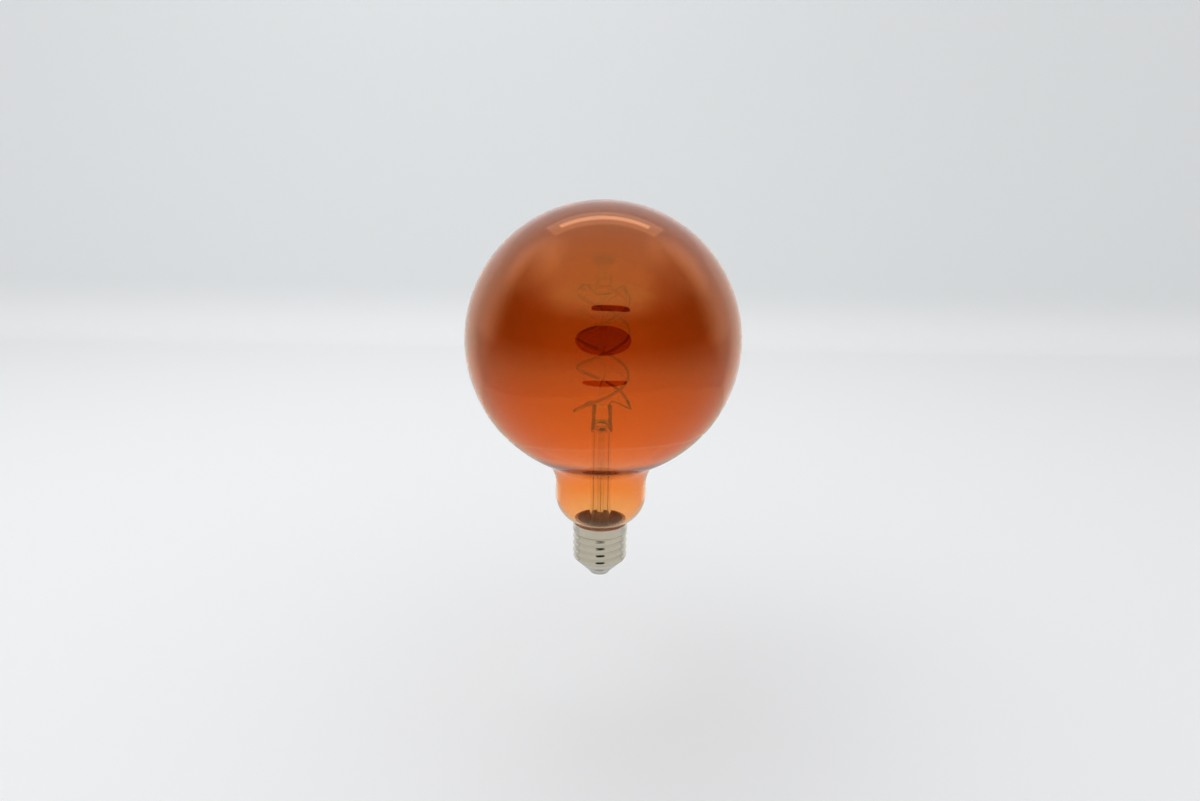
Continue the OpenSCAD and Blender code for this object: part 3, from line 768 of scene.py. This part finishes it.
def mottled(name, group, bright, dull, rough, metallic=0.0, size=900, depth=0.3):
    """A finish that varies between two colours and two roughnesses."""
    material, tree, shader = new_material(name)
    shader.inputs["Metallic"].default_value = metallic
    wear = add_node(tree, "ShaderNodeGroup", node_tree=group)
    wear.inputs["Size"].default_value = size
    wear.inputs["Depth"].default_value = depth
    colour = add_node(tree, "ShaderNodeMix", data_type="RGBA")
    colour.inputs["A"].default_value = (*bright, 1)
    colour.inputs["B"].default_value = (*dull, 1)
    gloss = add_node(tree, "ShaderNodeMapRange")
    gloss.inputs["To Min"].default_value = rough[0]
    gloss.inputs["To Max"].default_value = rough[1]
    tree.links.new(wear.outputs["Mask"], colour.inputs["Factor"])
    tree.links.new(wear.outputs["Mask"], gloss.inputs["Value"])
    tree.links.new(colour.outputs["Result"], shader.inputs["Base Color"])
    tree.links.new(gloss.outputs[0], shader.inputs["Roughness"])
    tree.links.new(wear.outputs["Normal"], shader.inputs["Normal"])
    return material


copper = mottled("copper_wire", drawn, (1.0, 0.7, 0.5), (0.8, 0.5, 0.32), (0.3, 0.5), 0.5)
nickel_wire = mottled("nickel_wire", drawn, (0.5, 0.48, 0.45), (0.27, 0.25, 0.23), (0.3, 0.5), 1.0)


def round_wire(node, name, slot, material, swell):
    """A smooth wire on the route of its faceted solid."""
    bm = bmesh.new()
    bm.from_mesh(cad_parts[node].data)
    bmesh.ops.remove_doubles(bm, verts=bm.verts[:], dist=0.001 * MM)
    bm.normal_update()
    for v in bm.verts:
        v.co += v.normal * swell
    wire = put_in_scene(bm, name, [material], crease=180)
    smooth = wire.modifiers.new("round", "SUBSURF")
    smooth.levels = smooth.render_levels = 2
    stand_for(wire, slot, node)


lead_swell = 0.03 * MM
fine_draw = -0.12 * MM
round_wire("outer_lead_left", "copper_lead_left", "copper", copper, fine_draw)
round_wire("outer_lead_right", "copper_lead_right", "copper", copper, fine_draw)
round_wire("inner_lead_left", "nickel_lead_left", "nickel_wire", nickel_wire, lead_swell)
round_wire("inner_lead_right", "nickel_lead_right", "nickel_wire", nickel_wire, lead_swell)
round_wire("top_wire", "button_wire", "nickel_wire", nickel_wire, lead_swell)

# Sealing wires
# Short copper-clad wires that the press is melted round, with a weld bead at each end.
# The heat of sealing leaves them dark red-brown and lumpy.
seal_low, seal_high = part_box("lead_seals")
seal_x = 3.5 * MM
seal_sections = [
    (0.0, 0.3), (0.02, 0.75), (0.07, 1.0), (0.13, 0.95), (0.19, 0.66), (0.3, 0.6), (0.38, 0.75), (0.46, 0.62),
    (0.62, 0.58), (0.7, 0.72), (0.77, 0.64), (0.85, 0.92), (0.92, 1.05), (0.97, 0.85), (1.0, 0.4),
]
dark_oxide = mottled("seal_oxide", drawn, (0.75, 0.22, 0.08), (0.42, 0.12, 0.05), (0.4, 0.65), 0.7, 1500, 0.5)
seal_wires = bmesh.new()
for side in (-1, 1):
    bm = bmesh.new()
    seal_line = [
        Vector((side * seal_x + radius * MM, 0, seal_low.z + (seal_high.z - seal_low.z) * share))
        for share, radius in seal_sections
    ]
    foot = Vector((side * seal_x, 0, seal_low.z))
    chain(bm, [foot] + seal_line + [Vector((side * seal_x, 0, seal_high.z))])
    spin_round(bm, 20, (side * seal_x, 0, 0))
    one_wire = bpy.data.meshes.new("seal_wire")
    bm.to_mesh(one_wire)
    bm.free()
    seal_wires.from_mesh(one_wire)
    bpy.data.meshes.remove(one_wire)
seals = put_in_scene(seal_wires, "seal_wires", [dark_oxide], crease=70)
stand_for(seals, "copper", "lead_seals")

# Filaments
# Two soft strips of yellow phosphor silicone over a row of small light chips, wound as a double spiral.
# Each ends in a crimped metal tab that the leads are welded to.
strip_d = 1.8 * MM
strip_thick = 1.15 * MM
strip_wide = 1.45 * MM
end_round = 0.2 * MM
spiral_r = 11.9 * MM
spiral_pitch = 34.5 * MM
spiral_turns = 1.5
spiral_start = radians(20)
strip_sides = 20
turn_steps = 72
slope = atan2(spiral_pitch, tau * spiral_r)
chip_step = 0.62 * MM
phosphor, tree, shader = new_material("phosphor_silicone")
shader.inputs["Roughness"].default_value = 0.42
shader.inputs["Subsurface Weight"].default_value = 0.3
shader.inputs["Subsurface Scale"].default_value = 0.8 * MM
place = add_node(tree, "ShaderNodeTexCoord")
parts = add_node(tree, "ShaderNodeSeparateXYZ")
beat = add_node(tree, "ShaderNodeMath", operation="MULTIPLY")
beat.inputs[1].default_value = tau / chip_step
wave = add_node(tree, "ShaderNodeMath", operation="SINE")
chips = add_node(tree, "ShaderNodeMapRange", interpolation_type="SMOOTHSTEP")
chips.inputs["From Min"].default_value = -0.2
chips.inputs["From Max"].default_value = 0.9
silicone = add_node(tree, "ShaderNodeMix", data_type="RGBA")
silicone.inputs["A"].default_value = (0.86, 0.5, 0.1, 1)
silicone.inputs["B"].default_value = (0.94, 0.7, 0.28, 1)
bump = add_node(tree, "ShaderNodeBump", Strength=0.4, Distance=0.1 * MM)
tree.links.new(place.outputs["Object"], parts.inputs[0])
tree.links.new(parts.outputs["Z"], beat.inputs[0])
tree.links.new(beat.outputs[0], wave.inputs[0])
tree.links.new(wave.outputs[0], chips.inputs["Value"])
tree.links.new(chips.outputs[0], silicone.inputs["Factor"])
tree.links.new(silicone.outputs["Result"], shader.inputs["Base Color"])
tree.links.new(chips.outputs[0], bump.inputs["Height"])
tree.links.new(bump.outputs["Normal"], shader.inputs["Normal"])


def spiral_frame(angle, z):
    """A matrix on the spiral: X points outwards, Z along the strip."""
    out = Vector((cos(angle), sin(angle), 0))
    on = Vector((-sin(angle) * cos(slope), cos(angle) * cos(slope), sin(slope)))
    turn = Matrix((out, on.cross(out), on)).transposed().to_4x4()
    return Matrix.Translation(out * spiral_r + Vector((0, 0, z))) @ turn


def first_height(node):
    """Height at which the spiral of a strip starts, under its middle."""
    low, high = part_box(node)
    return (low.z + high.z - spiral_turns * spiral_pitch) / 2


def wound_strip(name, node, start):
    """One strip: its section is swept up the spiral, and its ends run on straight."""
    rise = spiral_turns * spiral_pitch
    steps = round(turn_steps * spiral_turns)
    section = spiral_frame(start, first_height(node)) @ Matrix.Diagonal((strip_thick / 2, strip_wide / 2, 1, 1))
    bm = bmesh.new()
    bmesh.ops.create_circle(bm, cap_ends=False, segments=strip_sides, radius=1, matrix=section)
    ret = bmesh.ops.spin(
        bm, geom=bm.verts[:] + bm.edges[:], cent=(0, 0, 0), axis=(0, 0, 1), dvec=(0, 0, rise / steps),
        angle=spiral_turns * tau, steps=steps, use_merge=False, use_duplicate=False,
    )
    last = [g for g in ret["geom_last"] if isinstance(g, bmesh.types.BMEdge)]
    first = [e for e in bm.edges if e.is_boundary and e not in last]
    ends = [(first, start, -1), (last, start + spiral_turns * tau, 1)]
    for rim, angle, way in ends:
        along = spiral_frame(angle, 0).to_3x3() @ Vector((0, 0, way))
        for reach, share in ((strip_d - end_round, 1.0), (end_round, 0.8)):
            ring, rim = next_ring(bm, rim)
            bmesh.ops.translate(bm, verts=ring, vec=along * reach)
            middle = sum((v.co for v in ring), Vector()) / len(ring)
            for v in ring:
                v.co = middle + (v.co - middle) * share
        bmesh.ops.edgeloop_fill(bm, edges=rim)
    bmesh.ops.recalc_face_normals(bm, faces=bm.faces[:])
    strip = put_in_scene(bm, name, [phosphor])
    stand_for(strip, "phosphor", node)


tab_l = 4 * MM
tab_r = 0.75 * MM
tab_sections = [
    (0.0, tab_r * 0.86, tab_r * 0.86, 2.0), (0.03, tab_r, tab_r, 2.0), (0.2, tab_r, tab_r, 2.0),
    (0.25, tab_r * 0.74, tab_r * 0.8, 2.0), (0.31, tab_r * 0.74, tab_r * 0.8, 2.0), (0.36, tab_r, tab_r, 2.0),
    (0.5, tab_r, tab_r, 2.0), (0.56, tab_r * 0.74, tab_r * 0.8, 2.0), (0.61, tab_r * 0.74, tab_r * 0.8, 2.0),
    (0.67, tab_r * 0.95, tab_r, 2.0), (0.8, tab_r * 0.4, tab_r, 3.0), (0.97, tab_r * 0.36, tab_r, 3.4),
    (1.0, tab_r * 0.26, tab_r * 0.9, 3.0),
]
turn_back = Matrix.Rotation(pi, 4, "X")
tabs = bmesh.new()
for name, node, start in (
    ("strip_right", "filament_right", spiral_start),
    ("strip_left", "filament_left", spiral_start + pi),
):
    wound_strip(name, node, start)
    foot_frame = spiral_frame(start, first_height(node)) @ turn_back
    head_frame = spiral_frame(start + spiral_turns * tau, first_height(node) + spiral_turns * spiral_pitch)
    for end_frame in (foot_frame, head_frame):
        loft(tabs, strip_d, strip_d + tab_l, tab_sections, 20, end_frame)
tabs = put_in_scene(tabs, "crimped_tabs", [nickel_wire])
stand_for(tabs, "nickel_wire", "filament_tabs")

# Screw shell
# Sheet brass rolled to an E27 thread under a plain band, turned in to a cone at the foot.
# It is nickel plated, with a satin face and fine scratches, and it is coloured darker low in the grooves.
shell_low, shell_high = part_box("screw_shell")
cap_wall = 0.3 * MM
band_r = shell_high.x
rim_z = shell_high.z
band_h = 3.8 * MM
crest_r = 13.05 * MM
thread_depth = 0.62 * MM
thread_pitch = 3.629 * MM
groove_z = 18.2 * MM
cone_z = 8 * MM
lip_z = shell_low.z
lip_r = 7.3 * MM
turn_z = 9.2 * MM
turn_in = 0.75 * MM
cone_edge = 0.45 * MM
thread_fade = thread_pitch * 0.4
thread_rows = 110
band_z = rim_z - band_h
curl_r = 0.35 * MM


def scratched_plate():
    """Satin plate: long faint scratches round the cap, smudges, and a darkening low in the thread."""
    group, source, sink = new_group(
        "scratched_plate", ("Plain Radius", "Dirty Radius"),
        Scratch="Float", Smudge="Float", Dirt="Float", Normal="Vector")
    place = add_node(group, "ShaderNodeTexCoord")
    squash = add_node(group, "ShaderNodeMapping")
    squash.inputs["Scale"].default_value = (0.06, 0.06, 1)
    lines = add_node(group, "ShaderNodeTexNoise", Scale=9000.0, Detail=3.0, Roughness=0.7)
    smudge = add_node(group, "ShaderNodeTexNoise", Scale=170.0, Detail=4.0, Roughness=0.6)
    flat = add_node(group, "ShaderNodeVectorMath", operation="MULTIPLY")
    flat.inputs[1].default_value = (1, 1, 0)
    radius = add_node(group, "ShaderNodeVectorMath", operation="LENGTH")
    groove_share = add_node(group, "ShaderNodeMapRange", interpolation_type="SMOOTHSTEP")
    bump = add_node(group, "ShaderNodeBump", Strength=0.12, Distance=0.03 * MM)
    group.links.new(place.outputs["Object"], squash.inputs["Vector"])
    group.links.new(squash.outputs[0], lines.inputs["Vector"])
    group.links.new(place.outputs["Object"], smudge.inputs["Vector"])
    group.links.new(place.outputs["Object"], flat.inputs[0])
    group.links.new(flat.outputs[0], radius.inputs[0])
    group.links.new(radius.outputs["Value"], groove_share.inputs["Value"])
    group.links.new(source.outputs["Plain Radius"], groove_share.inputs["From Min"])
    group.links.new(source.outputs["Dirty Radius"], groove_share.inputs["From Max"])
    group.links.new(lines.outputs[0], bump.inputs["Height"])
    group.links.new(lines.outputs[0], sink.inputs["Scratch"])
    group.links.new(smudge.outputs[0], sink.inputs["Smudge"])
    group.links.new(groove_share.outputs[0], sink.inputs["Dirt"])
    group.links.new(bump.outputs["Normal"], sink.inputs["Normal"])
    return group


plate_wear = scratched_plate()
nickel_plate, tree, shader = new_material("nickel_plate")
shader.inputs["Metallic"].default_value = 1
wear = add_node(tree, "ShaderNodeGroup", node_tree=plate_wear)
wear.inputs["Plain Radius"].default_value = crest_r - thread_depth * 0.35
wear.inputs["Dirty Radius"].default_value = crest_r - thread_depth
tone = add_node(tree, "ShaderNodeMix", data_type="RGBA")
tone.inputs["A"].default_value = (0.72, 0.68, 0.58, 1)
tone.inputs["B"].default_value = (0.62, 0.58, 0.48, 1)
# Coloured darker low in the thread's grooves.
groove_darker = add_node(tree, "ShaderNodeMix", data_type="RGBA")
groove_darker.inputs["B"].default_value = (0.42, 0.4, 0.35, 1)
faint = add_node(tree, "ShaderNodeMath", operation="MULTIPLY")
faint.inputs[1].default_value = 0.25
gloss = add_node(tree, "ShaderNodeMapRange")
gloss.inputs["From Min"].default_value = 0.3
gloss.inputs["From Max"].default_value = 0.7
gloss.inputs["To Min"].default_value = 0.05
gloss.inputs["To Max"].default_value = 0.1
tree.links.new(wear.outputs["Smudge"], tone.inputs["Factor"])
tree.links.new(tone.outputs["Result"], groove_darker.inputs["A"])
tree.links.new(wear.outputs["Dirt"], faint.inputs[0])
tree.links.new(faint.outputs[0], groove_darker.inputs["Factor"])
tree.links.new(groove_darker.outputs["Result"], shader.inputs["Base Color"])
tree.links.new(wear.outputs["Scratch"], gloss.inputs["Value"])
tree.links.new(gloss.outputs[0], shader.inputs["Roughness"])
tree.links.new(wear.outputs["Normal"], shader.inputs["Normal"])


def ease(t):
    """Smooth step from 0 to 1."""
    t = max(0, min(1, t))
    return t * t * (3 - 2 * t)


def thread_radius(angle, z):
    """Outside of the thread, which dies out under the band and turns in to the cone."""
    dip = (1 + cos(tau * (z - groove_z) / thread_pitch - angle - pi / 2)) / 2
    fade = ease((z - cone_z) / thread_fade) * ease((band_z - z) / thread_fade)
    return crest_r - thread_depth * dip * fade - turn_in * ease((turn_z - z) / (turn_z - cone_z))


bm = bmesh.new()
shell_line = [Vector((lip_r, 0, lip_z)), Vector((lip_r + 0.35 * MM, 0, lip_z + 0.1 * MM))]
shell_line += [Vector((crest_r - turn_in - cone_edge, 0, cone_z - cone_edge))]
shell_line += [
    Vector((crest_r, 0, cone_z + (band_z - cone_z) * i / thread_rows)) for i in range(thread_rows + 1)
]
shell_line += [Vector((band_r - 0.04 * MM, 0, band_z + 0.12 * MM)), Vector((band_r, 0, band_z + 0.3 * MM))]
shell_line += arc((band_r - curl_r, rim_z - curl_r), curl_r, 0, 90, 6)
chain(bm, shell_line)
spin_round(bm)
for v in bm.verts:
    if cone_z <= v.co.z <= band_z:
        radius = thread_radius(atan2(v.co.y, v.co.x), v.co.z) / hypot(v.co.x, v.co.y)
        v.co.x *= radius
        v.co.y *= radius
bmesh.ops.recalc_face_normals(bm, faces=bm.faces[:])
shell = put_in_scene(bm, "threaded_shell", [nickel_plate])
sheet = shell.modifiers.new("sheet", "SOLIDIFY")
sheet.thickness = cap_wall
sheet.offset = -1
stand_for(shell, "nickel_plate", "screw_shell")

# Insulator and contact
# The foot of the cap is a pale moulded insulator held by the turned lip of the shell. Its white plastic is
# coloured a mid grey: painted shade.
# A plated contact with a softly rounded edge is riveted through it.
# Painted shade: mid grey for white plastic, with a random tone.
moulded_white_painted_shade = mottled(
    "moulded_white_painted_shade", drawn, (0.54, 0.54, 0.5), (0.47, 0.47, 0.43), (0.35, 0.5), 0.0, 500, 0.2)
insulator_low, insulator_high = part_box("cap_insulator")
foot_r = 5.3 * MM
foot_z = insulator_low.z
seat_r = lip_r - 0.05 * MM
bore_r = 1.55 * MM
bm = bmesh.new()
insulator_line = [Vector((bore_r, 0, foot_z)), Vector((foot_r - 0.5 * MM, 0, foot_z))]
insulator_line += [Vector((foot_r, 0, foot_z + 0.2 * MM)), Vector((seat_r - 0.25 * MM, 0, lip_z - 0.3 * MM))]
insulator_line += [Vector((seat_r, 0, lip_z)), Vector((seat_r, 0, lip_z + 0.55 * MM))]
insulator_line += [
    Vector((insulator_high.x, 0, insulator_high.z - 0.1 * MM)),
    Vector((insulator_high.x, 0, insulator_high.z)), Vector((bore_r, 0, insulator_high.z)),
    Vector((bore_r, 0, foot_z)),
]
chain(bm, insulator_line)
spin_round(bm, 96)
insulator = put_in_scene(bm, "insulator_foot", [moulded_white_painted_shade])
stand_for(insulator, "white_plastic", "cap_insulator")

contact_low, contact_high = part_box("centre_contact")
contact_r = contact_high.x
contact_h = 0.8 * MM
shank_r = 1.5 * MM
contact_edge = 0.15 * MM
bm = bmesh.new()
contact_line = [Vector((0, 0, contact_low.z))]
contact_line += arc((contact_r - contact_edge, contact_edge), contact_edge, -90, 0, 6)
contact_line += [
    Vector((contact_r, 0, contact_h)), Vector((shank_r, 0, contact_h)),
    Vector((shank_r, 0, contact_high.z)), Vector((0, 0, contact_high.z)),
]
chain(bm, contact_line)
spin_round(bm, 64)
contact = put_in_scene(bm, "contact_rivet", [nickel_plate])
stand_for(contact, "nickel_plate", "centre_contact")

# Cement, liner and sleeves
# Red-brown basing cement grips the mouth and the shoulder of the glass and fills the shell up to its rim.
# A tube of brown paper lines the shell below, and woven sleeves cover the copper leads under the stem.


def sandy():
    """Grains and pores, as a mask and as a normal."""
    group, source, sink = new_group("sandy", ("Size", "Depth"), Mask="Float", Normal="Vector")
    place = add_node(group, "ShaderNodeTexCoord")
    grain = add_node(group, "ShaderNodeTexVoronoi")
    bump = add_node(group, "ShaderNodeBump", Distance=0.2 * MM)
    group.links.new(place.outputs["Object"], grain.inputs["Vector"])
    group.links.new(source.outputs["Size"], grain.inputs["Scale"])
    group.links.new(source.outputs["Depth"], bump.inputs["Strength"])
    group.links.new(grain.outputs["Distance"], bump.inputs["Height"])
    group.links.new(grain.outputs["Distance"], sink.inputs["Mask"])
    group.links.new(bump.outputs["Normal"], sink.inputs["Normal"])
    return group


sand = sandy()


def dress(node, material):
    """Gives a carried-over solid its finish."""
    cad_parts[node].data.materials.clear()
    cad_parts[node].data.materials.append(material)


cement = mottled("cement", sand, (0.52, 0.3, 0.23), (0.76, 0.48, 0.39), (0.7, 0.95), 0.0, 1500, 0.7)
cement_low, cement_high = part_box("basing_cement")
grip = 0.03 * MM
skirt_r = 11.65 * MM
ledge_r = cement_high.x
ledge_z = band_z + 0.55 * MM
bm = bmesh.new()
cement_line = [
    Vector((mouth_r - grip, 0, cement_low.z)), Vector((mouth_r - grip, 0, rim_z + 0.3 * MM)),
    Vector((mouth_r + 0.5 * MM, 0, rim_z + 0.12 * MM)), Vector((ledge_r - 0.3 * MM, 0, rim_z + 0.05 * MM)),
    Vector((ledge_r, 0, rim_z - curl_r)), Vector((ledge_r, 0, ledge_z)),
    Vector((skirt_r, 0, ledge_z)), Vector((skirt_r, 0, cement_low.z)),
]
chain(bm, cement_line, closed=True)
spin_round(bm, 128)
cement_fill = put_in_scene(bm, "cement_fill", [cement])
stand_for(cement_fill, "cement", "basing_cement")
dress("cap_liner", mottled(
    "liner_paper", sand, (0.42, 0.25, 0.16), (0.58, 0.36, 0.24), (0.6, 0.85), 0.0, 1800, 0.4))
dress("lead_sleeves", mottled(
    "woven_sleeve", sand, (0.82, 0.78, 0.7), (0.66, 0.62, 0.55), (0.6, 0.9), 0.0, 4000, 0.4))

# Driver and radio
# Two small boards stand in the cap with their parts soldered on, under the foot of the stem.
# Dark laminates, moulded chips, a sleeved capacitor, a wound choke and a tinned shield.
driver_green = mottled(
    "driver_laminate", drawn, (0.05, 0.16, 0.08), (0.03, 0.1, 0.06), (0.35, 0.6), 0.0, 700, 0.2)
radio_blue = mottled(
    "radio_laminate", drawn, (0.05, 0.08, 0.15), (0.03, 0.05, 0.1), (0.35, 0.6), 0.0, 700, 0.2)
chip_black = mottled(
    "moulded_black", sand, (0.04, 0.04, 0.045), (0.07, 0.07, 0.07), (0.5, 0.75), 0.0, 5000, 0.2)
capacitor_sleeve = mottled(
    "capacitor_sleeve", drawn, (0.05, 0.055, 0.09), (0.08, 0.085, 0.12), (0.2, 0.4), 0.0, 300, 0.2)
ferrite = mottled("ferrite", sand, (0.1, 0.1, 0.11), (0.17, 0.17, 0.18), (0.5, 0.8), 0.0, 4000, 0.3)
resistor_lacquer = mottled(
    "resistor_lacquer", drawn, (0.2, 0.33, 0.3), (0.26, 0.4, 0.37), (0.25, 0.4), 0.0, 600, 0.2)
chip_glaze = mottled(
    "chip_glaze", drawn, (0.04, 0.04, 0.05), (0.08, 0.08, 0.09), (0.25, 0.4), 0.0, 2500, 0.1)
chip_ceramic = mottled(
    "chip_ceramic", sand, (0.45, 0.32, 0.2), (0.55, 0.42, 0.28), (0.4, 0.6), 0.0, 5000, 0.2)
brown_insulation = mottled(
    "brown_insulation", drawn, (0.32, 0.1, 0.05), (0.26, 0.08, 0.04), (0.35, 0.5), 0.0, 900, 0.2)
blue_insulation = mottled(
    "blue_insulation", drawn, (0.05, 0.12, 0.4), (0.04, 0.1, 0.32), (0.35, 0.5), 0.0, 900, 0.2)
gold_flash = mottled("gold_flash", drawn, (0.8, 0.6, 0.24), (0.6, 0.42, 0.18), (0.2, 0.35), 1.0, 1500, 0.2)
tin = mottled("tin_plate", drawn, (0.7, 0.7, 0.68), (0.55, 0.55, 0.54), (0.3, 0.45), 1.0, 600, 0.2)
antenna_enamel = mottled(
    "antenna_enamel", drawn, (1.0, 0.86, 0.62), (0.94, 0.76, 0.5), (0.3, 0.45), 0.0, 900, 0.2)
dress("driver_board", driver_green)
dress("radio_board", radio_blue)
for node in ("bridge_rectifier", "driver_chip", "radio_chip"):
    dress(node, chip_black)
dress("bulk_capacitor", capacitor_sleeve)
dress("choke_core", ferrite)
dress("choke_winding", copper)
dress("fuse_resistor", resistor_lacquer)
dress("chip_resistors", chip_glaze)
dress("chip_capacitors", chip_ceramic)
dress("live_wire", brown_insulation)
dress("neutral_wire", blue_insulation)
dress("header_pins", gold_flash)
for node in ("radio_shield", "radio_crystal"):
    dress(node, tin)
round_wire("antenna_wire", "antenna_lead", "antenna_insulation", antenna_enamel, fine_draw)
